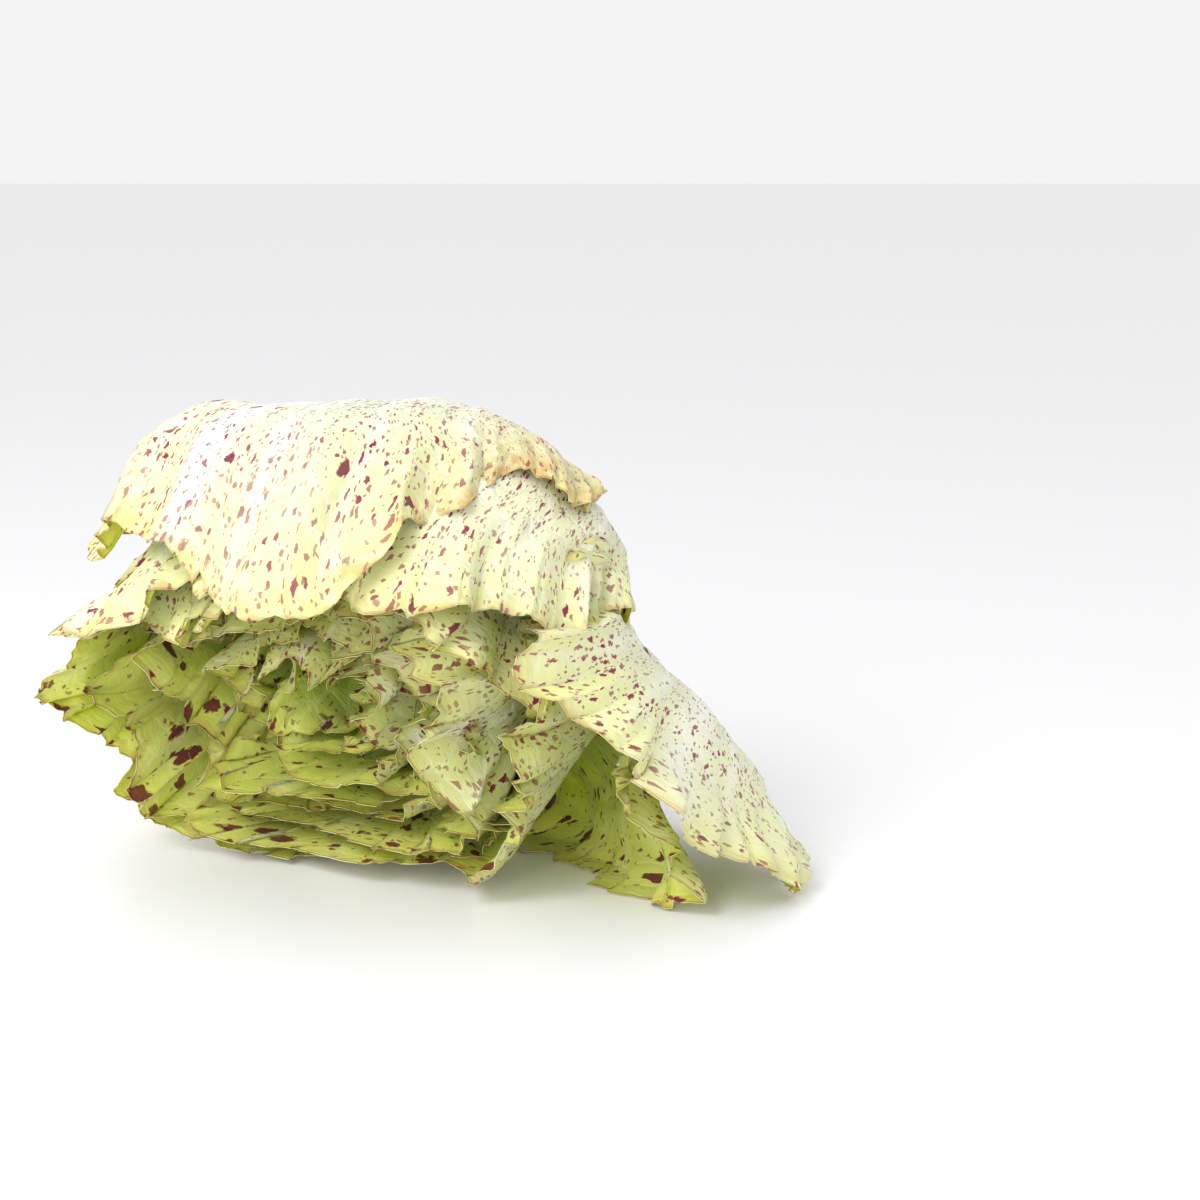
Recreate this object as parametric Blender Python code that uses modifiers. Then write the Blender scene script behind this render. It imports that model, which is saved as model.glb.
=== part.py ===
"""A loose radicchio head of the speckled kind, lying on its side.

The head is a short tapering core with a spiral of leaves. Every leaf springs from
the core, spreads, and then turns forward along the head's axis, so the margins
together make an open mouth. Inner leaves are small and close, outer leaves large.

Each leaf is worked out in three steps: its outline in the flat, the nested shell
that the flat blade is wrapped on, and the way the whole head slumps when it lies
on a table. Lengths are in millimetres until MM turns them to metres.
"""
import math

import bmesh
import bpy
import numpy as np

MM = 0.001

# The head: where the foot of the core is, and where the core points.
CORE_AT = (19.6, 68.8, 90.425)
YAW = math.radians(31.0)
DIP = math.radians(11.0)
GOLDEN_ANGLE = 137.508

# The core, a turned cone with a cut end.
CORE_HEIGHT = 52.0
CORE_FOOT_RADIUS = 15.0
CORE_TIP_RADIUS = 6.0
CORE_STUB = 9.0
CORE_GAP = 1.1
LOWEST_FOOT = 4.0

# Leaf sizes at rank 0, the innermost, and at rank 1. The loosest outer leaves pass rank 1.
REACH = (64.0, 160.0)
HALF_WIDTH = (22.0, 88.0)
FOOT_HALF_WIDTH = (5.0, 13.0)
OPENING = (10.0, 90.0)
SPIRAL_LEAVES = 22
BLADE_THICKNESS = 0.85
RIPPLE = 0.4
TUCK = 0.4
CUP = 0.02
CUP_TOP = 0.13
CUP_FROM = 55.0

# How the head slumps: it flattens a little, its front droops, and it rests on the table.
SQUASH = 0.90
SHOULDER = 0.28
DROOP = 30.0
SKIRT_FROM = 12.0
DROOP_FROM = 88.0
TABLE = -94.0
TABLE_SOFTNESS = 7.0
FLAT_SPOT = 4.0
FLAT_STEP = 44.0
LOWEST_RANK = 1.075

# Name, rank, direction round the core in degrees, and what is special about each outer leaf.
OUTER_LEAVES = (
    ("leaf_left_fold", 0.86, 204.0, dict(stretch=1.08, half_width=74.0)),
    ("leaf_cradle", 0.92, 271.0, dict(stretch=1.06, half_width=84.0)),
    ("leaf_right_wall", 0.97, 326.0, dict(stretch=1.00)),
    ("leaf_brow", 0.91, 132.0, dict(stretch=1.13)),
    ("leaf_left_wall", 0.97, 168.0, dict(stretch=1.14, half_width=92.0)),
    ("leaf_rug", 1.03, 231.0, dict(stretch=1.04, half_width=82.0)),
    ("leaf_apron", 1.075, 312.0, dict(stretch=1.0, lean=22.0, half_width=72.0, skirt=34.0)),
    ("leaf_trail", 1.145, 346.0, dict(stretch=1.03, half_width=84.0, lean=2.0, skirt=74.0)),
    ("leaf_dome", 1.205, 66.0, dict(stretch=1.06, half_width=98.0)),
    ("leaf_canopy", 1.29, 99.0, dict(stretch=1.1)),
)


def ease(x):
    """A step from 0 to 1 with level ends."""
    x = np.clip(x, 0.0, 1.0)
    return x * x * (3.0 - 2.0 * x)


def mix(low, high, t):
    return low + (high - low) * t


def core_radius(height):
    return mix(CORE_FOOT_RADIUS, CORE_TIP_RADIUS, height / CORE_HEIGHT)


class Leaf:
    """One leaf: points are asked for by s, foot to margin, and a, left edge to right edge."""

    def __init__(self, name, rank, direction, stretch=1.0, half_width=None, lean=0.0,
                 wave=1.0, tuck=0.0, open_out=1.0, skirt=0.0, seed=0):
        self.name = name
        self.rank = rank
        self.direction = math.radians(direction)
        self.reach = mix(*REACH, rank ** 0.85)
        self.length = self.reach * stretch
        self.half_width = half_width or mix(*HALF_WIDTH, rank ** 0.8)
        self.foot = mix(*FOOT_HALF_WIDTH, rank)
        self.lean = math.radians(mix(5.0, 0.0, rank) + lean)
        self.wave = wave
        self.tuck = tuck
        self.open_out = open_out
        self.skirt = skirt
        random = np.random.RandomState(seed)
        self.phase = random.rand(12) * 2.0 * math.pi
        self.lobe = 0.6 + 0.8 * random.rand(6)
        self.shell = self.meridian()

    def meridian(self):
        """Distance along the blade, then radius, height and slope of the shell there."""
        along = np.linspace(0.0, 1.6 * self.reach, 260)
        t = along / self.reach
        start = math.radians(mix(*OPENING, self.rank ** 0.7))
        slope = start * (1.0 - np.clip(t / 0.8, 0.0, 1.0)) ** 1.25
        slope = slope + self.lean * ease((t - 0.45) / 0.55)
        step = along[1] - along[0]
        height_at_foot = mix(CORE_HEIGHT - 3.0, LOWEST_FOOT, self.rank ** 0.8)
        radius = core_radius(height_at_foot) + CORE_GAP + np.cumsum(np.sin(slope)) * step
        height = height_at_foot + np.cumsum(np.cos(slope)) * step
        return along, radius, height, slope

    def outline(self, a):
        """The margin of the flat blade, with its broad lobes."""
        widest = 0.56 * self.length
        side = np.abs(a)
        crown = np.clip(side / 0.55, 0.0, 1.0) * math.pi / 2.0
        down = np.clip((side - 0.55) / 0.45, 0.0, 1.0)
        low = mix(widest, 0.13 * self.length, down)
        taper = np.sin(math.pi / 2.0 * np.clip(low / widest, 0.0, 1.0))
        x = np.where(side <= 0.55, self.half_width * np.sin(crown) ** 0.92,
                     self.foot + (self.half_width - self.foot) * taper)
        y = np.where(side <= 0.55, widest + (self.length - widest) * np.cos(crown), low)
        lobes = sum(0.03 * self.lobe[k] * np.sin((k + 2) * 1.3 * math.pi * a + self.phase[k])
                    for k in range(5))
        swell = 1.0 + lobes * (1.0 - down)
        return x * swell * np.sign(a), y * (0.1 + 0.9 * swell)

    def flat(self, s, a):
        """The vein lines, which fan from the foot to the margin."""
        edge_x, edge_y = self.outline(a)
        x = (1 - s) ** 2 * self.foot * a + 2 * s * (1 - s) * 0.33 * edge_x + s ** 2 * edge_x
        y = 2 * s * (1 - s) * (0.42 * edge_y + 2.0) + s ** 2 * edge_y
        return x, y

    def points(self, s, a):
        x, y = self.flat(s, a)
        size = self.half_width / HALF_WIDTH[1]
        along_edge = a * 2.3 * self.half_width
        turn = 2.0 * math.pi * along_edge / (62.0 * mix(0.55, 1.0, size)) + self.phase[5]
        ripple = RIPPLE * size * self.wave * ease((s - 0.3) / 0.7) * np.sin(turn)
        ripple = ripple - self.tuck * a * np.abs(a) * ease(s / 0.5)
        along, radius, height, slope = self.shell
        r = np.interp(y, along, radius)
        z = np.interp(y, along, height)
        tilt = np.interp(y, along, slope)
        waist = 0.62 * self.reach
        wrap = np.where(y < waist, r, np.maximum(r, np.interp(waist, along, radius)))
        angle = self.direction + x / (wrap * self.open_out)
        r = r + ripple * np.cos(tilt)
        z = z - ripple * np.sin(tilt)
        r = r + (CUP - CUP_TOP * np.sin(angle)) * np.maximum(z - CUP_FROM, 0.0)
        head = np.stack([r * np.cos(angle), r * np.sin(angle), z], -1)
        above = FLAT_STEP * max(0.0, LOWEST_RANK - self.rank)
        return lie_down(head, y / self.length, self.skirt, above + FLAT_SPOT * (above > 0.0))


def lie_down(head, out, skirt, above):
    """From the head's own frame, core along +Z, to the table."""
    right = np.array([math.cos(YAW), -math.sin(YAW), 0.0])
    level = np.array([-math.sin(YAW), -math.cos(YAW), 0.0])
    forward = level * math.cos(DIP) - np.array([0.0, 0.0, math.sin(DIP)])
    up = level * math.sin(DIP) + np.array([0.0, 0.0, math.cos(DIP)])
    world = head[..., 0:1] * right + head[..., 1:2] * up + head[..., 2:3] * forward
    x, y, z = world[..., 0], world[..., 1], world[..., 2]
    wander = ease((np.sqrt(x * x + y * y + z * z) - 25.0) / 90.0)
    k = 2.0 * math.pi / 95.0
    dx = 4.5 * wander * np.sin(k * z + 1.3) * np.cos(0.8 * k * y + 0.4)
    dy = 3.0 * wander * np.sin(1.1 * k * x + 2.2) * np.cos(0.9 * k * z + 1.9)
    dz = 5.0 * wander * np.sin(0.9 * k * x + 0.7) * np.cos(0.7 * k * y + 2.6)
    x, y, z = x + dx, y + dy, z + dz
    fall = skirt * np.clip((SKIRT_FROM - z) / 90.0, 0.0, 1.2) ** 1.4 * ease((out - 0.1) / 0.5)
    x, y = x + fall * math.cos(math.radians(8.0)), y - fall * math.sin(math.radians(8.0))
    x = x - SHOULDER * np.maximum(z + 10.0, 0.0) * ease((30.0 - x) / 100.0)
    ahead = -(x * math.sin(YAW) + y * math.cos(YAW))
    z = z * SQUASH
    over = np.clip((ahead - DROOP_FROM) / 70.0, 0.0, 2.0)
    z = z - DROOP * over ** 1.6 * ease((z + 30.0) / 90.0)
    rest = TABLE + above
    z = rest + TABLE_SOFTNESS * np.log1p(np.exp((z - rest) / TABLE_SOFTNESS))
    z = np.maximum(z, TABLE + FLAT_SPOT)
    return np.stack([x, y, z], -1) + np.array(CORE_AT)


def new_material(name, colour, roughness):
    material = bpy.data.materials.new(name)
    material.use_nodes = True
    shader = material.node_tree.nodes["Principled BSDF"]
    shader.inputs["Base Color"].default_value = (*colour, 1.0)
    shader.inputs["Roughness"].default_value = roughness
    shader.inputs["Metallic"].default_value = 0.0
    return material


def add_leaf(leaf, collection):
    """An open grid bent to the leaf's shape, made solid by its thickness."""
    columns, rows = (18, 8) if leaf.rank > 0.84 else (12, 6) if leaf.rank > 0.35 else (9, 5)
    mesh = bpy.data.meshes.new(leaf.name)
    bm = bmesh.new()
    bmesh.ops.create_grid(bm, x_segments=columns, y_segments=rows, size=1.0)
    grid = np.array([vert.co for vert in bm.verts])
    places = leaf.points((0.5 + 0.5 * grid[:, 1]) ** 0.8, grid[:, 0]) * MM
    for vert, place in zip(bm.verts, places):
        vert.co = place
    bm.to_mesh(mesh)
    bm.free()
    mesh.shade_smooth()
    body = bpy.data.objects.new(leaf.name, mesh)
    collection.objects.link(body)
    blade = body.modifiers.new("blade", "SOLIDIFY")
    blade.thickness = BLADE_THICKNESS * MM
    blade.offset = 0.0
    blade.use_even_offset = False
    paleness = leaf.rank
    colour = (mix(0.36, 0.66, paleness), mix(0.50, 0.72, paleness), mix(0.08, 0.34, paleness))
    mesh.materials.append(new_material(leaf.name, colour, 0.5))
    return body


def add_core(collection):
    """The core and the stub below it: half a profile, turned about the head's axis."""
    tip = CORE_HEIGHT - 2.0
    shrink = 0.86
    profile = [
        (0.0, tip + 2.0),
        (0.6 * CORE_TIP_RADIUS * shrink, tip + 0.8),
        (CORE_TIP_RADIUS * shrink, tip - 2.0),
        (core_radius(0.5 * CORE_HEIGHT) * shrink, 0.5 * CORE_HEIGHT),
        (CORE_FOOT_RADIUS * shrink, 3.0),
        (0.93 * CORE_FOOT_RADIUS, -0.8 * CORE_STUB),
        (0.87 * CORE_FOOT_RADIUS, -CORE_STUB),
        (0.0, -CORE_STUB),
    ]
    mesh = bpy.data.meshes.new("core")
    bm = bmesh.new()
    verts = [bm.verts.new((x * MM, 0.0, z * MM)) for x, z in profile]
    for above, below in zip(verts, verts[1:]):
        bm.edges.new((above, below))
    bm.to_mesh(mesh)
    bm.free()
    core = bpy.data.objects.new("core", mesh)
    collection.objects.link(core)
    turn = core.modifiers.new("turn", "SCREW")
    turn.steps = 20
    turn.render_steps = 20
    turn.use_merge_vertices = True
    turn.merge_threshold = 0.0001
    core.rotation_euler = (math.pi / 2.0 + DIP, 0.0, -YAW)
    core.location = [v * MM for v in CORE_AT]
    mesh.materials.append(new_material("core", (0.80, 0.76, 0.55), 0.55))
    return core


def all_leaves():
    """The golden-angle spiral from the heart outward, then the loose outer leaves."""
    leaves = []
    random = np.random.RandomState(5)
    for i in range(SPIRAL_LEAVES):
        rank = 0.03 + 0.80 * (i + 0.5) / SPIRAL_LEAVES
        stretch = 1.0 + 0.10 * (2.0 * random.rand() - 1.0)
        direction = 40.0 + i * GOLDEN_ANGLE
        leaves.append(Leaf(f"leaf_{i + 1:02d}", rank, direction, stretch=stretch, tuck=TUCK, seed=3 * i + 1))
    for i, (name, rank, direction, special) in enumerate(OUTER_LEAVES):
        leaves.append(Leaf(name, rank, direction, seed=100 + i, **special))
    return leaves


def main():
    for old in list(bpy.data.objects):
        bpy.data.objects.remove(old)
    collection = bpy.data.collections.new("radicchio_head")
    bpy.context.scene.collection.children.link(collection)
    add_core(collection)
    for leaf in all_leaves():
        add_leaf(leaf, collection)
    bpy.context.view_layer.update()


main()
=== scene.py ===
"""A loose speckled radicchio head on a pale table: the fine leaves, their tissue, light and camera.

Every leaf is made here at full fineness by the same formula as its solid in the frame, on
the same nested shells, with its ruffled margin, veins, ribs and blisters added.
Lengths are in millimetres until MM turns them to metres.
"""
import math

import bpy
import numpy as np
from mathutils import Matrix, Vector


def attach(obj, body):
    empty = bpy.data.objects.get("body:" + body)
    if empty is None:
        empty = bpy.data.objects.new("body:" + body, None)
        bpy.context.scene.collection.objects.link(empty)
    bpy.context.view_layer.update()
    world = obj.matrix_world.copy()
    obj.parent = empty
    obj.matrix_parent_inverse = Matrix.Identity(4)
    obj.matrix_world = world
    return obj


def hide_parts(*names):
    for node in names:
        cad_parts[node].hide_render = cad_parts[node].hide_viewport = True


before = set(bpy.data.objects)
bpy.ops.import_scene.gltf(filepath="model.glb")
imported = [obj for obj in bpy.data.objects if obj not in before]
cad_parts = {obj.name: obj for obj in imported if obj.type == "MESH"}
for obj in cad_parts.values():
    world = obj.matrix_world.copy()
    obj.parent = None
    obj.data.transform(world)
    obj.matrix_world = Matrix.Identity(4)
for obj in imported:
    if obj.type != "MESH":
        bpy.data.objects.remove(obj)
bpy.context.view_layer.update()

MM = 0.001

# ---------------------------------------------------------------- the head

# Where the foot of the core is, and where the core points.
CORE_AT = (19.6, 68.8, 90.425)
YAW = math.radians(31.0)
DIP = math.radians(11.0)
GOLDEN_ANGLE = 137.508

CORE_HEIGHT = 52.0
CORE_FOOT_RADIUS = 15.0
CORE_TIP_RADIUS = 6.0
CORE_STUB = 9.0
CORE_GAP = 1.1
LOWEST_FOOT = 4.0

# Leaf sizes at rank 0, the innermost, and at rank 1. The loosest outer leaves pass rank 1.
REACH = (64.0, 160.0)
HALF_WIDTH = (22.0, 88.0)
FOOT_HALF_WIDTH = (5.0, 13.0)
OPENING = (10.0, 90.0)
SPIRAL_LEAVES = 22
TUCK = 0.4
CUP = 0.02
CUP_TOP = 0.13
CUP_FROM = 55.0

# How the head slumps on the table.
SQUASH = 0.90
SHOULDER = 0.28
DROOP = 30.0
SKIRT_FROM = 12.0
DROOP_FROM = 88.0
TABLE = -94.0
TABLE_SOFTNESS = 7.0
FLAT_SPOT = 4.0
FLAT_STEP = 44.0
LOWEST_RANK = 1.075

# The leaf itself: blade and midrib thickness, and the waves of its margin.
BLADE = 0.5
RIB = 3.6
FOLD_WAVE = 58.0
FRILL_WAVE = 23.0
CRIMP_WAVE = 9.0

# Name, rank, direction round the core in degrees, and what is special about each outer leaf.
OUTER_LEAVES = (
    ("leaf_left_fold", 0.86, 204.0, dict(stretch=1.08, half_width=74.0)),
    ("leaf_cradle", 0.92, 271.0, dict(stretch=1.06, half_width=84.0, ragged=1.6)),
    ("leaf_right_wall", 0.97, 326.0, dict(stretch=1.00)),
    ("leaf_brow", 0.91, 132.0, dict(stretch=1.13, ragged=1.8, curl=-12.0)),
    ("leaf_left_wall", 0.97, 168.0, dict(stretch=1.14, half_width=92.0, ragged=1.5)),
    ("leaf_rug", 1.03, 231.0, dict(stretch=1.04, half_width=82.0, ragged=1.8)),
    ("leaf_apron", 1.075, 312.0, dict(stretch=1.0, lean=22.0, half_width=72.0, skirt=34.0, ragged=1.4)),
    ("leaf_trail", 1.145, 346.0, dict(stretch=1.03, half_width=84.0, lean=2.0, skirt=74.0, wave=0.6,
                                      ragged=1.6)),
    ("leaf_dome", 1.205, 66.0, dict(stretch=1.06, half_width=98.0, wave=0.34, pale=0.45, ragged=1.3)),
    ("leaf_canopy", 1.29, 99.0, dict(stretch=1.1, wave=0.4, pale=0.3, ragged=1.9, curl=-6.0, dry=-0.5)),
)


def ease(x):
    """A step from 0 to 1 with level ends."""
    x = np.clip(x, 0.0, 1.0)
    return x * x * (3.0 - 2.0 * x)


def mix(low, high, t):
    return low + (high - low) * t


def lattice_noise(x, y, z, seed):
    """Smooth noise from -1 to 1, one lump to each unit."""
    def corner(i, j, k):
        h = (i * 374761393 + j * 668265263 + k * 2147483647 + seed * 974634777) & 0xFFFFFFFF
        h = ((h ^ (h >> 13)) * 1274126177) & 0xFFFFFFFF
        return ((h ^ (h >> 16)) & 0xFFFF) / 32767.5 - 1.0

    ix, iy, iz = (np.floor(v).astype(np.int64) for v in (x, y, z))
    fx, fy, fz = (ease(v - np.floor(v)) for v in (x, y, z))
    total = 0.0
    for dx in (0, 1):
        for dy in (0, 1):
            for dz in (0, 1):
                share = (fx if dx else 1 - fx) * (fy if dy else 1 - fy) * (fz if dz else 1 - fz)
                total = total + share * corner(ix + dx, iy + dy, iz + dz)
    return total


def core_radius(height):
    return mix(CORE_FOOT_RADIUS, CORE_TIP_RADIUS, height / CORE_HEIGHT)


class Leaf:
    """One leaf: points are asked for by s, foot to margin, and a, left edge to right edge."""

    def __init__(self, name, rank, direction, stretch=1.0, half_width=None, lean=0.0, wave=1.0,
                 tuck=0.0, open_out=1.0, skirt=0.0, pale=0.0, curl=0.0, ragged=1.0,
                 dry=None, seed=0):
        self.name = name
        self.rank = rank
        self.direction = math.radians(direction)
        self.reach = mix(*REACH, rank ** 0.85)
        self.length = self.reach * stretch
        self.half_width = half_width or mix(*HALF_WIDTH, rank ** 0.8)
        self.foot = mix(*FOOT_HALF_WIDTH, rank)
        self.lean = math.radians(mix(5.0, 0.0, rank) + lean)
        self.wave = wave
        self.tuck = tuck
        self.open_out = open_out
        self.skirt = skirt
        self.pale = pale
        self.curl = curl
        self.ragged = ragged
        self.dry = dry
        self.seed = seed
        random = np.random.RandomState(seed)
        self.phase = random.rand(12) * 2.0 * math.pi
        self.lobe = 0.6 + 0.8 * random.rand(6)
        self.shift = random.rand(12) * 2.0 * math.pi
        self.shell = self.meridian()

    def meridian(self):
        """Distance along the blade, then radius, height and slope of the shell there."""
        along = np.linspace(0.0, 1.6 * self.reach, 260)
        t = along / self.reach
        start = math.radians(mix(*OPENING, self.rank ** 0.7))
        slope = start * (1.0 - np.clip(t / 0.8, 0.0, 1.0)) ** 1.25
        slope = slope + self.lean * ease((t - 0.45) / 0.55)
        step = along[1] - along[0]
        height_at_foot = mix(CORE_HEIGHT - 3.0, LOWEST_FOOT, self.rank ** 0.8)
        radius = core_radius(height_at_foot) + CORE_GAP + np.cumsum(np.sin(slope)) * step
        height = height_at_foot + np.cumsum(np.cos(slope)) * step
        return along, radius, height, slope

    def outline(self, a):
        """The margin of the flat blade, with its broad lobes."""
        widest = 0.56 * self.length
        side = np.abs(a)
        crown = np.clip(side / 0.55, 0.0, 1.0) * math.pi / 2.0
        down = np.clip((side - 0.55) / 0.45, 0.0, 1.0)
        low = mix(widest, 0.13 * self.length, down)
        taper = np.sin(math.pi / 2.0 * np.clip(low / widest, 0.0, 1.0))
        x = np.where(side <= 0.55, self.half_width * np.sin(crown) ** 0.92,
                     self.foot + (self.half_width - self.foot) * taper)
        y = np.where(side <= 0.55, widest + (self.length - widest) * np.cos(crown), low)
        lobes = sum(0.03 * self.lobe[k] * np.sin((k + 2) * 1.3 * math.pi * a + self.phase[k])
                    for k in range(5))
        swell = 1.0 + lobes * (1.0 - down)
        return x * swell * np.sign(a), y * (0.1 + 0.9 * swell)

    def flat(self, s, a):
        """The vein lines, which fan from the foot to the margin."""
        edge_x, edge_y = self.outline(a)
        x = (1 - s) ** 2 * self.foot * a + 2 * s * (1 - s) * 0.33 * edge_x + s ** 2 * edge_x
        y = 2 * s * (1 - s) * (0.42 * edge_y + 2.0) + s ** 2 * edge_y
        return x, y

    def noise(self, x, y, seed):
        return lattice_noise(x, y, 0.5 + 0.0 * x, self.seed + seed)

    def ruffle(self, s, m):
        """How far the blade stands off its shell, and how far it is gathered along it.

        The margin is longer than the blade can carry flat, so it buckles: broad folds first,
        then frills and crimps that only live near the margin. m is measured along the margin.
        """
        size = (self.half_width / HALF_WIDTH[1]) ** 0.5
        off = 0.0
        gather = 0.0
        m = m + 7.0 * (1.0 - s) * self.noise(m / 26.0, 5.0 * s, 13) + 3.0 * self.noise(m / 15.0, 8.0 * s, 15)
        calm = mix(self.wave, 1.0, 0.5)
        for wave, depth, start, power, seed in (
            (FOLD_WAVE * mix(0.5, 1.0, size), 7.0 * size * self.wave, 0.25, 2.2, 3),
            (FRILL_WAVE, 5.6 * size * self.wave, 0.58, 2.0, 5),
            (0.62 * FRILL_WAVE, 3.0 * calm, 0.66, 1.6, 6),
            (CRIMP_WAVE, 2.0 * calm, 0.74, 1.5, 7),
            (0.42 * CRIMP_WAVE, 0.7, 0.84, 1.2, 9),
        ):
            drift = (1.5 * self.noise(m / (2.3 * wave), 1.1 * s, seed)
                     + 0.5 * self.noise(m / wave, 2.0 * s, seed + 20))
            turn = 2.0 * math.pi * (m / wave + drift + 0.35 * s) + self.shift[seed]
            swell = np.clip(0.72 + 1.3 * self.noise(m / (1.3 * wave) + 9.0, 1.5 * s, seed + 40), 0.05, 1.7)
            grown = depth * swell * ease((s - start) / (1.0 - start)) ** power
            off = off + grown * np.sin(turn)
            gather = gather + 0.40 * self.wave ** 0.7 * grown * np.sin(2.0 * turn)
        return off, gather

    def blister(self, x, y, s):
        """The crumple of the blade between its veins, in three sizes."""
        off = 2.8 * self.noise(x / 34.0, y / 40.0, 11) + 1.5 * self.noise(x / 14.0, y / 17.0, 17)
        ridge = 1.0 - 2.0 * np.abs(self.noise(x / 9.5, y / 14.0, 23))
        fine = 0.7 * ridge + 0.35 * self.noise(x / 4.0, y / 5.0, 29)
        return (off * self.ragged ** 0.7 + fine) * ease((s - 0.1) / 0.35)

    def teeth(self, m):
        """How far the margin reaches beyond its even line: lobes, teeth, and a few tears."""
        reach = 5.0 * self.ragged * self.noise(m / 26.0, 0.0 * m, 61) * self.half_width / HALF_WIDTH[1]
        reach = reach + 2.2 * self.noise(m / 8.0, 0.0 * m, 67)
        reach = (reach + 1.3 * np.abs(self.noise(m / 2.9, 0.0 * m, 71))
                 + 0.5 * self.noise(m / 1.6, 0.0 * m, 73))
        tear = np.clip((self.noise(m / 8.0, 0.0 * m, 79) - 0.45) / 0.35, 0.0, 1.0)
        return reach - 5.0 * tear

    def place(self, s, a):
        """Points of the middle surface, and the flat place that each comes from."""
        x, y = self.flat(s, a)
        m = a * 2.3 * self.half_width
        off, gather = self.ruffle(s, m)
        off = off + self.blister(x, y, s)
        tooth = self.teeth(m) * ease((s - 0.72) / 0.28) ** 1.5
        u = x + gather * np.cos(1.6 * a) + tooth * np.sin(1.6 * a)
        v = y - gather * np.sin(1.6 * a) + tooth * np.cos(1.6 * a)
        along, radius, height, slope = self.shell
        r = np.interp(v, along, radius)
        z = np.interp(v, along, height)
        tilt = np.interp(v, along, slope)
        waist = 0.62 * self.reach
        wrap = np.where(v < waist, r, np.maximum(r, np.interp(waist, along, radius)))
        angle = self.direction + u / (wrap * self.open_out)
        off = off - self.tuck * a * np.abs(a) * ease(s / 0.5)
        off = off - self.curl * ease((v / self.length - 0.55) / 0.5) ** 1.5
        r = r + off * np.cos(tilt)
        z = z - off * np.sin(tilt)
        r = r + (CUP - CUP_TOP * np.sin(angle)) * np.maximum(z - CUP_FROM, 0.0)
        head = np.stack([r * np.cos(angle), r * np.sin(angle), z], -1)
        above = FLAT_STEP * max(0.0, LOWEST_RANK - self.rank)
        return lie_down(head, v / self.length, self.skirt, above + FLAT_SPOT * (above > 0.0)), x, y


def lie_down(head, out, skirt, above):
    """From the head's own frame, core along +Z, to the table."""
    right = np.array([math.cos(YAW), -math.sin(YAW), 0.0])
    level = np.array([-math.sin(YAW), -math.cos(YAW), 0.0])
    forward = level * math.cos(DIP) - np.array([0.0, 0.0, math.sin(DIP)])
    up = level * math.sin(DIP) + np.array([0.0, 0.0, math.cos(DIP)])
    world = head[..., 0:1] * right + head[..., 1:2] * up + head[..., 2:3] * forward
    x, y, z = world[..., 0], world[..., 1], world[..., 2]
    wander = ease((np.sqrt(x * x + y * y + z * z) - 25.0) / 90.0)
    k = 2.0 * math.pi / 95.0
    dx = 4.5 * wander * np.sin(k * z + 1.3) * np.cos(0.8 * k * y + 0.4)
    dy = 3.0 * wander * np.sin(1.1 * k * x + 2.2) * np.cos(0.9 * k * z + 1.9)
    dz = 5.0 * wander * np.sin(0.9 * k * x + 0.7) * np.cos(0.7 * k * y + 2.6)
    x, y, z = x + dx, y + dy, z + dz
    fall = skirt * np.clip((SKIRT_FROM - z) / 90.0, 0.0, 1.2) ** 1.4 * ease((out - 0.1) / 0.5)
    x, y = x + fall * math.cos(math.radians(8.0)), y - fall * math.sin(math.radians(8.0))
    x = x - SHOULDER * np.maximum(z + 10.0, 0.0) * ease((30.0 - x) / 100.0)
    ahead = -(x * math.sin(YAW) + y * math.cos(YAW))
    z = z * SQUASH
    over = np.clip((ahead - DROOP_FROM) / 70.0, 0.0, 2.0)
    z = z - DROOP * over ** 1.6 * ease((z + 30.0) / 90.0)
    rest = TABLE + above
    z = rest + TABLE_SOFTNESS * np.log1p(np.exp((z - rest) / TABLE_SOFTNESS))
    z = np.maximum(z, TABLE + FLAT_SPOT)
    return np.stack([x, y, z], -1) + np.array(CORE_AT)


def all_leaves():
    """The golden-angle spiral from the heart outward, then the loose outer leaves."""
    leaves = []
    random = np.random.RandomState(5)
    for i in range(SPIRAL_LEAVES):
        rank = 0.03 + 0.80 * (i + 0.5) / SPIRAL_LEAVES
        stretch = 1.0 + 0.10 * (2.0 * random.rand() - 1.0)
        direction = 40.0 + i * GOLDEN_ANGLE
        top = max(0.0, math.sin(math.radians(direction)))
        curl = mix(7.0, 1.0, ease(rank / 0.5)) + 4.0 * math.sin(5.0 * i) - 8.0 * rank * top
        leaves.append(Leaf(f"leaf_{i + 1:02d}", rank, direction, stretch=stretch, tuck=TUCK, curl=curl,
                           wave=0.95, seed=3 * i + 1))
    for i, (name, rank, direction, special) in enumerate(OUTER_LEAVES):
        leaves.append(Leaf(name, rank, direction, seed=100 + i, **special))
    return leaves


# ---------------------------------------------------------------- colours and node trees

def linear(code):
    """A colour given as sRGB hex, such as "e8ecc4", as the linear values Blender works in."""
    values = [int(code[i:i + 2], 16) / 255.0 for i in (0, 2, 4)]
    return [v / 12.92 if v <= 0.04045 else ((v + 0.055) / 1.055) ** 2.4 for v in values]


def add(tree, kind, settings=None, **inputs):
    """One node, with its settings, its input values and its links.

    An input is named, with _ for a space, or numbered, as i0 for the first.
    """
    node = tree.nodes.new(kind)
    for name, value in (settings or {}).items():
        setattr(node, name, value)
    for name, value in inputs.items():
        key = name.replace("_", " ")
        socket = node.inputs[int(name[1:])] if name[0] == "i" and name[1:].isdigit() else node.inputs[key]
        if isinstance(value, bpy.types.NodeSocket):
            tree.links.new(value, socket)
        elif isinstance(value, str):
            socket.default_value = (*linear(value), 1.0)
        else:
            socket.default_value = value
    return node


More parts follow.
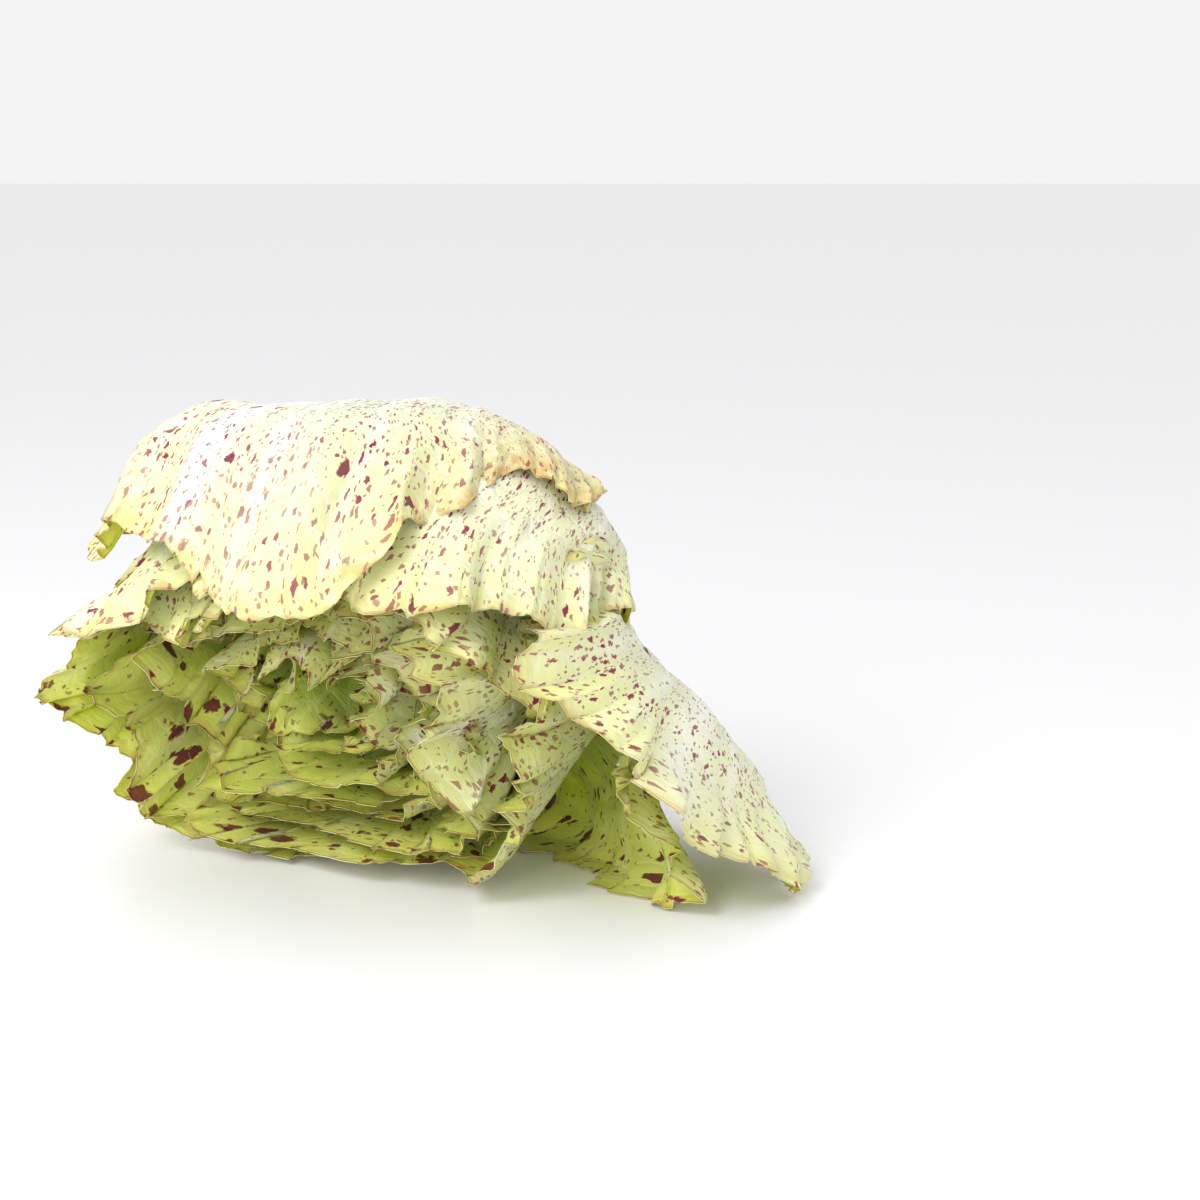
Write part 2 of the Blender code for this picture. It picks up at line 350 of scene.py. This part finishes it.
# Settings that many nodes share.
TIMES = {"operation": "MULTIPLY"}
PLUS = {"operation": "ADD"}
MINUS = {"operation": "SUBTRACT"}
LARGER = {"operation": "MAXIMUM"}
COLOUR = {"data_type": "RGBA"}
MATH = "ShaderNodeMath"
MIX = "ShaderNodeMix"
SLOPE = "ShaderNodeMapRange"


def flecks(tree, place, cell, share, size, seed):
    """Anthocyanin flecks: an oval, ragged spot in some of the cells of a jittered grid.

    cell is the cell's width and length in millimetres, share the part of the cells
    that hold a fleck, size the fleck's radius as a part of the cell.
    """
    grid = add(tree, "ShaderNodeMapping", Vector=place, Location=(seed, 2.3 * seed, 0.0),
               Scale=(1.0 / cell[0], 1.0 / cell[1], 1.0)).outputs[0]
    near = add(tree, "ShaderNodeTexVoronoi", {"voronoi_dimensions": "2D"}, Vector=grid, Scale=1.0,
               Randomness=1.0)
    chance = add(tree, "ShaderNodeSeparateColor", i0=near.outputs["Color"]).outputs
    ragged = add(tree, "ShaderNodeTexNoise", {"noise_dimensions": "2D"}, Vector=grid, Scale=2.6, Detail=3.0)
    ragged = add(tree, MATH, TIMES, i0=ragged.outputs[0], i1=2.0).outputs[0]
    reach = add(tree, MATH, PLUS, i0=chance[1], i1=0.25).outputs[0]
    reach = add(tree, MATH, TIMES, i0=reach, i1=size).outputs[0]
    reach = add(tree, MATH, TIMES, i0=reach, i1=ragged).outputs[0]
    spot = add(tree, MATH, MINUS, i0=reach, i1=near.outputs["Distance"]).outputs[0]
    spot = add(tree, SLOPE, Value=spot, From_Min=0.0, From_Max=0.05).outputs[0]
    held = add(tree, MATH, {"operation": "LESS_THAN"}, i0=chance[0], i1=share).outputs[0]
    return add(tree, MATH, TIMES, i0=spot, i1=held).outputs[0]


def leaf_tissue(name, base, toward_margin, reach, rib_colour, edge_colour, fleck_colour, fine, blotch, rough):
    """Fresh chicory leaf: thin moist tissue under a waxy skin, flecked with wine-red pigment.

    To the eye it is satin, soft because light sinks a little way in, and paler along its veins.
    The UV map "veins" runs across the veins in U and along them in V, in metres, so a
    pattern drawn on it follows the leaf. Attributes give the closeness to the margin,
    to a vein, how much of the deep green the leaf takes, which is partly its own colour
    and partly painted shade deep in the heart, and where it has wilted.
    """
    material = bpy.data.materials.new(name)
    material.use_nodes = True
    tree = material.node_tree
    shader = tree.nodes["Principled BSDF"]
    uv = add(tree, "ShaderNodeUVMap", {"uv_map": "veins"}).outputs[0]
    place = add(tree, "ShaderNodeVectorMath", {"operation": "SCALE"}, i0=uv, Scale=1000.0).outputs[0]
    margin = add(tree, "ShaderNodeAttribute", {"attribute_name": "margin"}).outputs["Fac"]
    vein = add(tree, "ShaderNodeAttribute", {"attribute_name": "vein"}).outputs["Fac"]
    green = add(tree, "ShaderNodeAttribute", {"attribute_name": "green"}).outputs["Fac"]
    dry = add(tree, "ShaderNodeAttribute", {"attribute_name": "dry"}).outputs["Fac"]

    # place is in millimetres: clouds of about 30 mm, mottling of about 5 mm, and a bend every
    # 3 mm or so in the lines that the flecks and the net of small veins follow.
    bend = add(tree, "ShaderNodeTexNoise", Vector=place, Scale=0.35, Detail=2.0).outputs["Color"]
    wobbled = add(tree, "ShaderNodeVectorMath", {"operation": "MULTIPLY_ADD"}, i0=bend, i1=(1.8, 2.6, 0.0),
                  i2=place).outputs[0]
    clouds = add(tree, "ShaderNodeTexNoise", Vector=place, Scale=0.035, Detail=3.0).outputs[0]
    mottle = add(tree, "ShaderNodeTexNoise", Vector=place, Scale=0.22, Detail=4.0).outputs[0]
    net = add(tree, "ShaderNodeMapping", Vector=wobbled, Scale=(0.13, 0.07, 1.0)).outputs[0]
    net = add(tree, "ShaderNodeTexVoronoi", {"voronoi_dimensions": "2D", "feature": "DISTANCE_TO_EDGE"},
              Vector=net, Scale=1.0).outputs["Distance"]
    net = add(tree, SLOPE, Value=net, From_Min=0.12, From_Max=0.0).outputs[0]

    # The blade: greener in the heart, yellower towards the margin, pale along its veins.
    # The deep green of the heart is partly the leaf's own colour and partly painted shade.
    colour = add(tree, MIX, COLOUR, i0=green, i6=base[0], i7=base[1]).outputs[2]
    near = add(tree, MATH, TIMES, i0=margin, i1=0.8).outputs[0]
    drift = add(tree, MATH, TIMES, i0=clouds, i1=0.35).outputs[0]
    near = add(tree, MATH, PLUS, i0=near, i1=drift).outputs[0]
    near = add(tree, SLOPE, Value=near, From_Min=reach, From_Max=1.05).outputs[0]
    colour = add(tree, MIX, COLOUR, i0=near, i6=colour, i7=toward_margin).outputs[2]
    paler = add(tree, MIX, COLOUR, i0=0.35, i6=colour, i7=toward_margin).outputs[2]
    patch = add(tree, SLOPE, Value=mottle, From_Min=0.42, From_Max=0.75).outputs[0]
    colour = add(tree, MIX, COLOUR, i0=patch, i6=colour, i7=paler).outputs[2]
    faint = add(tree, MATH, TIMES, i0=net, i1=0.16).outputs[0]
    colour = add(tree, MIX, COLOUR, i0=faint, i6=colour, i7=rib_colour).outputs[2]
    strong = add(tree, MATH, TIMES, i0=vein, i1=0.8).outputs[0]
    colour = add(tree, MIX, COLOUR, i0=strong, i6=colour, i7=rib_colour).outputs[2]

    # Where it has wilted it is tan, and the last millimetres of the margin are browned in places.
    tan = add(tree, SLOPE, Value=mottle, From_Min=0.3, From_Max=0.6).outputs[0]
    tan = add(tree, MATH, TIMES, i0=dry, i1=tan).outputs[0]
    tan = add(tree, MATH, TIMES, i0=tan, i1=0.75).outputs[0]
    colour = add(tree, MIX, COLOUR, i0=tan, i6=colour, i7="c79a66").outputs[2]
    rim = add(tree, SLOPE, Value=margin, From_Min=0.955, From_Max=1.0).outputs[0]
    patch = add(tree, SLOPE, Value=mottle, From_Min=0.35, From_Max=0.6).outputs[0]
    rim = add(tree, MATH, TIMES, i0=rim, i1=patch).outputs[0]
    rim = add(tree, MATH, TIMES, i0=rim, i1=0.6).outputs[0]
    colour = add(tree, MIX, COLOUR, i0=rim, i6=colour, i7=edge_colour).outputs[2]

    # Flecks of about 1 by 3 mm and 0.6 by 1.6 mm come in drifts. Blotches are about 3 by 8 mm,
    # and the largest twice that.
    # Both leave the white foot of the leaf clean.
    small = flecks(tree, wobbled, (2.0, 6.4), fine, 0.27, 3.1)
    dust = flecks(tree, wobbled, (1.15, 3.2), fine, 0.33, 7.7)
    large = flecks(tree, wobbled, (9.0, 21.0), blotch, 0.26, 5.3)
    middle = flecks(tree, wobbled, (4.6, 11.0), blotch, 0.28, 9.9)
    dust = add(tree, MATH, TIMES, i0=dust, i1=0.8).outputs[0]
    spots = add(tree, MATH, LARGER, i0=small, i1=dust).outputs[0]
    patchy = add(tree, SLOPE, Value=clouds, From_Min=0.40, From_Max=0.60).outputs[0]
    patchy = add(tree, MATH, TIMES, i0=patchy, i1=0.3).outputs[0]
    patchy = add(tree, MATH, PLUS, i0=patchy, i1=0.7).outputs[0]
    spots = add(tree, MATH, TIMES, i0=spots, i1=patchy).outputs[0]
    away = add(tree, SLOPE, Value=margin, From_Min=0.22, From_Max=0.6).outputs[0]
    spots = add(tree, MATH, TIMES, i0=spots, i1=away).outputs[0]
    colour = add(tree, MIX, COLOUR, i0=spots, i6=colour, i7=fleck_colour[0]).outputs[2]
    blots = add(tree, MATH, LARGER, i0=large, i1=middle).outputs[0]
    away = add(tree, SLOPE, Value=margin, From_Min=0.15, From_Max=0.4).outputs[0]
    blots = add(tree, MATH, TIMES, i0=blots, i1=away).outputs[0]
    blots = add(tree, MATH, TIMES, i0=blots, i1=0.95).outputs[0]
    colour = add(tree, MIX, COLOUR, i0=blots, i6=colour, i7=fleck_colour[1]).outputs[2]
    tree.links.new(colour, shader.inputs["Base Color"])

    bumps = add(tree, "ShaderNodeTexNoise", Vector=place, Scale=0.55, Detail=4.0).outputs[0]
    sunk = add(tree, MATH, TIMES, i0=net, i1=0.5).outputs[0]
    bumps = add(tree, MATH, MINUS, i0=bumps, i1=sunk).outputs[0]
    bump = add(tree, "ShaderNodeBump", Height=bumps, Strength=0.5, Distance=0.0007)
    tree.links.new(bump.outputs[0], shader.inputs["Normal"])
    shader.inputs["Roughness"].default_value = rough
    shader.inputs["IOR"].default_value = 1.42
    shader.inputs["Specular IOR Level"].default_value = 0.4
    shader.inputs["Subsurface Weight"].default_value = 0.6
    shader.inputs["Subsurface Radius"].default_value = (0.9, 1.0, 0.2)
    shader.inputs["Subsurface Scale"].default_value = 0.0015
    return material


# ---------------------------------------------------------------- making the leaves

def vein_strength(s, a):
    """1 on the midrib and 0 between veins: a midrib and a fan of side veins that fade outward."""
    rib = np.exp(-(a / (0.075 * (1.0 - 0.75 * s) + 0.004)) ** 2) * (1.0 - 0.55 * s)
    fan = np.zeros_like(a)
    for k in range(1, 8):
        at = (k / 7.5) ** 1.1
        width = 0.022 * (1.0 - 0.7 * s) + 0.004
        fan = np.maximum(fan, np.exp(-((np.abs(a) - at) / width) ** 2) * (1.0 - s) ** 0.6 * 0.8)
    return np.maximum(rib, fan)


def make_leaf(leaf, inner, outer):
    """A closed leaf: an inner face, an outer face and a rim that joins them at the margin.

    The rim's faces are wound the opposite way from the inner and outer faces.
    """
    rows = 56 if leaf.rank > 0.4 else 44
    columns = int(80 + 2.6 * leaf.half_width)
    t = np.linspace(0.0, 1.0, rows)
    s = 1.0 - (1.0 - t) ** 1.25
    a = np.linspace(-1.0, 1.0, columns)
    S, A = np.meshgrid(s, a, indexing="ij")
    middle, flat_x, flat_y = leaf.place(S, A)
    along_s = np.gradient(middle, axis=0)
    along_a = np.gradient(middle, axis=1)
    outward = np.cross(along_a, along_s)
    outward /= np.linalg.norm(outward, axis=-1, keepdims=True) + 1e-9
    vein = vein_strength(S, A)
    thick = BLADE * (1.0 - 0.35 * S) + (RIB - BLADE) * vein * (1.0 - S) ** 1.3
    inside = middle - outward * (0.5 * BLADE)
    outside = middle + outward * (thick - 0.5 * BLADE)[..., None]
    inside[..., 2] = np.maximum(inside[..., 2], 0.05)
    outside[..., 2] = np.maximum(outside[..., 2], 0.0)

    count = rows * columns
    points = np.concatenate([inside.reshape(-1, 3), outside.reshape(-1, 3)]) * MM
    index = np.arange(count).reshape(rows, columns)
    quads = np.stack([index[:-1, :-1], index[:-1, 1:], index[1:, 1:], index[1:, :-1]], -1).reshape(-1, 4)
    ring = np.concatenate([index[0, :], index[1:, -1], index[-1, -2::-1], index[-2:0:-1, 0]])
    nxt = np.roll(ring, -1)
    rim = np.stack([ring, ring + count, nxt + count, nxt], -1)
    faces = np.concatenate([quads[:, ::-1], quads + count, rim])

    mesh = bpy.data.meshes.new(leaf.name)
    mesh.vertices.add(2 * count)
    mesh.vertices.foreach_set("co", points.ravel())
    mesh.loops.add(faces.size)
    mesh.loops.foreach_set("vertex_index", faces.ravel())
    mesh.polygons.add(len(faces))
    mesh.polygons.foreach_set("loop_start", np.arange(len(faces)) * 4)
    slot = np.concatenate([np.zeros(len(quads)), np.ones(len(quads) + len(rim))]).astype(int)
    mesh.polygons.foreach_set("material_index", slot)
    mesh.update(calc_edges=True)
    mesh.validate()
    mesh.materials.append(inner)
    mesh.materials.append(outer)
    mesh.shade_smooth()

    across = A * 1.9 * leaf.half_width + 37.0 * leaf.seed
    veins = np.stack([across, flat_y + 13.0 * leaf.seed], -1).reshape(-1, 2) * MM
    veins = np.concatenate([veins, veins])
    layer = mesh.uv_layers.new(name="veins")
    layer.data.foreach_set("uv", veins[faces.ravel()].ravel())
    # More of the deep green on inner leaves and towards the foot: partly the leaf's own colour, partly
    # painted shade deep in the heart.
    green = np.clip(1.35 - 1.1 * leaf.rank - leaf.pale, 0.0, 1.0) * (1.0 - 0.3 * S)
    dry = 0.0 * S
    if leaf.dry is not None:
        dry = np.exp(-((A - leaf.dry) / 0.2) ** 2) * ease((S - 0.7) / 0.3)
    for name, values in (("margin", S), ("vein", vein), ("green", green), ("dry", dry)):
        attribute = mesh.attributes.new(name, "FLOAT", "POINT")
        attribute.data.foreach_set("value", np.concatenate([values.ravel(), values.ravel()]))
    piece = bpy.data.objects.new(leaf.name + "_blade", mesh)
    bpy.context.scene.collection.objects.link(piece)
    return piece


def core_tissue():
    """The core: pale, fibrous plant tissue, browned where the stem was cut."""
    material = bpy.data.materials.new("chicory_core_tissue")
    material.use_nodes = True
    tree = material.node_tree
    shader = tree.nodes["Principled BSDF"]
    place = add(tree, "ShaderNodeUVMap", {"uv_map": "core"}).outputs[0]
    stretch = add(tree, "ShaderNodeMapping", Vector=place, Scale=(1000.0, 250.0, 1.0)).outputs[0]
    fibres = add(tree, "ShaderNodeTexNoise", Vector=stretch, Scale=0.9, Detail=4.0).outputs[0]
    browned = add(tree, "ShaderNodeAttribute", {"attribute_name": "cut"}).outputs["Fac"]
    streak = add(tree, SLOPE, Value=fibres, From_Min=0.35, From_Max=0.7).outputs[0]
    colour = add(tree, MIX, COLOUR, i0=streak, i6="e9e6bd", i7="cfcf8e").outputs[2]
    stain = add(tree, MATH, PLUS, i0=fibres, i1=0.25).outputs[0]
    stain = add(tree, MATH, TIMES, i0=browned, i1=stain).outputs[0]
    colour = add(tree, MIX, COLOUR, i0=stain, i6=colour, i7="a5713c").outputs[2]
    tree.links.new(colour, shader.inputs["Base Color"])
    bump = add(tree, "ShaderNodeBump", Height=fibres, Strength=0.6, Distance=0.0006)
    tree.links.new(bump.outputs[0], shader.inputs["Normal"])
    shader.inputs["Roughness"].default_value = 0.5
    return material


def core_rule(material):
    """A node tree for the core: a tapering stem whose skin is ridged by its leaf scars."""
    tree = bpy.data.node_groups.new("core_by_rule", "GeometryNodeTree")
    tree.interface.new_socket(name="Geometry", in_out="OUTPUT", socket_type="NodeSocketGeometry")
    sizes = {}
    for name, value in (("Foot radius", CORE_FOOT_RADIUS * MM), ("Tip radius", CORE_TIP_RADIUS * MM),
                        ("Length", (CORE_HEIGHT + CORE_STUB) * MM), ("Scar depth", 0.7 * MM)):
        socket = tree.interface.new_socket(name=name, in_out="INPUT", socket_type="NodeSocketFloat")
        socket.default_value = value
        sizes[name] = socket.identifier
    given = add(tree, "NodeGroupInput").outputs
    stem = add(tree, "GeometryNodeMeshCone", {"fill_type": "TRIANGLE_FAN"}, Vertices=64, Side_Segments=40,
               Fill_Segments=8, Radius_Top=given["Tip radius"], Radius_Bottom=given["Foot radius"],
               Depth=given["Length"]).outputs["Mesh"]
    place = add(tree, "GeometryNodeInputPosition").outputs[0]
    scars = add(tree, "ShaderNodeTexNoise", Vector=place, Scale=260.0, Detail=2.0).outputs[0]
    depth = add(tree, MATH, MINUS, i0=scars, i1=0.8).outputs[0]
    depth = add(tree, MATH, TIMES, i0=depth, i1=given["Scar depth"]).outputs[0]
    normal = add(tree, "GeometryNodeInputNormal").outputs[0]
    push = add(tree, "ShaderNodeVectorMath", {"operation": "SCALE"}, i0=normal, Scale=depth).outputs[0]
    moved = add(tree, "GeometryNodeSetPosition", Geometry=stem, Offset=push).outputs[0]
    real = add(tree, "GeometryNodeRealizeInstances", Geometry=moved).outputs[0]
    done = add(tree, "GeometryNodeSetMaterial", Geometry=real, Material=material).outputs[0]
    end = add(tree, "NodeGroupOutput")
    tree.links.new(done, end.inputs[0])
    return tree, sizes


def make_core():
    material = core_tissue()
    tree, sizes = core_rule(material)
    base = bpy.data.objects.new("core_rule", bpy.data.meshes.new("core_rule"))
    bpy.context.scene.collection.objects.link(base)
    rule = base.modifiers.new("rule", "NODES")
    rule.node_group = tree
    rule[sizes["Foot radius"]] = 0.99 * CORE_FOOT_RADIUS * MM
    rule[sizes["Tip radius"]] = 0.90 * CORE_TIP_RADIUS * MM
    mesh = bpy.data.meshes.new_from_object(base.evaluated_get(bpy.context.evaluated_depsgraph_get()))
    bpy.data.objects.remove(base)

    count = len(mesh.vertices)
    own = np.zeros(3 * count)
    mesh.vertices.foreach_get("co", own)
    own = own.reshape(-1, 3)
    own[:, 2] -= CORE_STUB * MM
    radius = np.hypot(own[:, 0], own[:, 1])
    end = own[:, 2] < -0.85 * CORE_STUB * MM
    core_uv = np.where(end[:, None], own[:, :2],
                       np.stack([0.014 * np.arctan2(own[:, 1], own[:, 0]), own[:, 2]], -1))
    right = np.array([math.cos(YAW), -math.sin(YAW), 0.0])
    level = np.array([-math.sin(YAW), -math.cos(YAW), 0.0])
    forward = level * math.cos(DIP) - np.array([0.0, 0.0, math.sin(DIP)])
    up = level * math.sin(DIP) + np.array([0.0, 0.0, math.cos(DIP)])
    world = own[:, 0:1] * right + own[:, 1:2] * up + own[:, 2:3] * forward + np.array(CORE_AT) * MM
    mesh.vertices.foreach_set("co", world.ravel())
    flip = np.linalg.det(np.stack([right, up, forward])) < 0.0
    if flip:
        mesh.flip_normals()
    corners = np.zeros(len(mesh.loops), dtype=int)
    mesh.loops.foreach_get("vertex_index", corners)
    for layer in list(mesh.uv_layers):
        mesh.uv_layers.remove(layer)
    mesh.uv_layers.new(name="core").data.foreach_set("uv", core_uv[corners].ravel())
    stain = end * (0.55 + 0.45 * np.clip(radius / (CORE_FOOT_RADIUS * MM), 0.0, 1.0))
    mesh.attributes.new("cut", "FLOAT", "POINT").data.foreach_set("value", stain)
    mesh.shade_smooth()
    piece = bpy.data.objects.new("core_stem", mesh)
    bpy.context.scene.collection.objects.link(piece)
    return piece


def main():
    core = make_core()
    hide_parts("core")
    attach(core, "root")
    # Inner faces are yellow-green with few, large, dark blotches.
    # Outer faces are cream with many fine flecks.
    # On both, the second, greener base colour is partly the leaf's own colour and partly painted shade deep
    # in the heart.
    inner = leaf_tissue("radicchio_leaf_inner_face", ("d2df60", "82b628"), "d8de74", 0.30, "e8eeaa", "a8703c",
                        ("842448", "64102f"), 0.14, 0.24, 0.42)
    outer = leaf_tissue("radicchio_leaf_outer_face", ("e9ebd4", "bcd26c"), "e6eb9c", 0.55, "fdfdf8", "b9824e",
                        ("8c2048", "7c1a3e"), 0.46, 0.03, 0.46)
    for leaf in all_leaves():
        piece = make_leaf(leaf, inner, outer)
        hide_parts(leaf.name)
        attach(piece, "root")


main()


# ---------------------------------------------------------------- table, light and camera

def add_table():
    bpy.ops.mesh.primitive_plane_add(size=8.0, location=(0.0, 0.0, 0.0))
    table = bpy.context.object
    table.name = "table"
    material = bpy.data.materials.new("white_table_laminate")
    material.use_nodes = True
    shader = material.node_tree.nodes["Principled BSDF"]
    shader.inputs["Base Color"].default_value = (*linear("f4f4f6"), 1.0)
    shader.inputs["Roughness"].default_value = 0.35
    table.data.materials.append(material)


def add_light(name, place, target, size, power):
    data = bpy.data.lights.new(name, "AREA")
    data.energy = power
    data.size = size
    lamp = bpy.data.objects.new(name, data)
    bpy.context.scene.collection.objects.link(lamp)
    lamp.location = place
    lamp.rotation_euler = (Vector(target) - Vector(place)).to_track_quat("-Z", "Y").to_euler()


def add_camera():
    data = bpy.data.cameras.new("camera")
    data.lens = 85.0
    camera = bpy.data.objects.new("camera", data)
    bpy.context.scene.collection.objects.link(camera)
    tilt = math.radians(12.0)
    target = Vector((0.065, -0.045, 0.109))
    camera.location = target + Vector((0.0, -math.cos(tilt), math.sin(tilt))) * 1.02
    camera.rotation_euler = (target - camera.location).to_track_quat("-Z", "Y").to_euler()
    bpy.context.scene.camera = camera


def add_world():
    world = bpy.data.worlds.new("studio")
    bpy.context.scene.world = world
    world.use_nodes = True
    background = world.node_tree.nodes["Background"]
    background.inputs[0].default_value = (1.0, 1.0, 1.0, 1.0)
    background.inputs[1].default_value = 0.9


add_table()
add_world()
add_light("soft_key", (-0.55, -0.55, 0.85), (0.0, 0.0, 0.05), 0.6, 6.3)
add_light("front_fill", (-0.35, -1.1, 0.35), (0.0, -0.05, 0.08), 0.7, 5.0)
add_camera()
bpy.context.scene.view_settings.view_transform = "Standard"
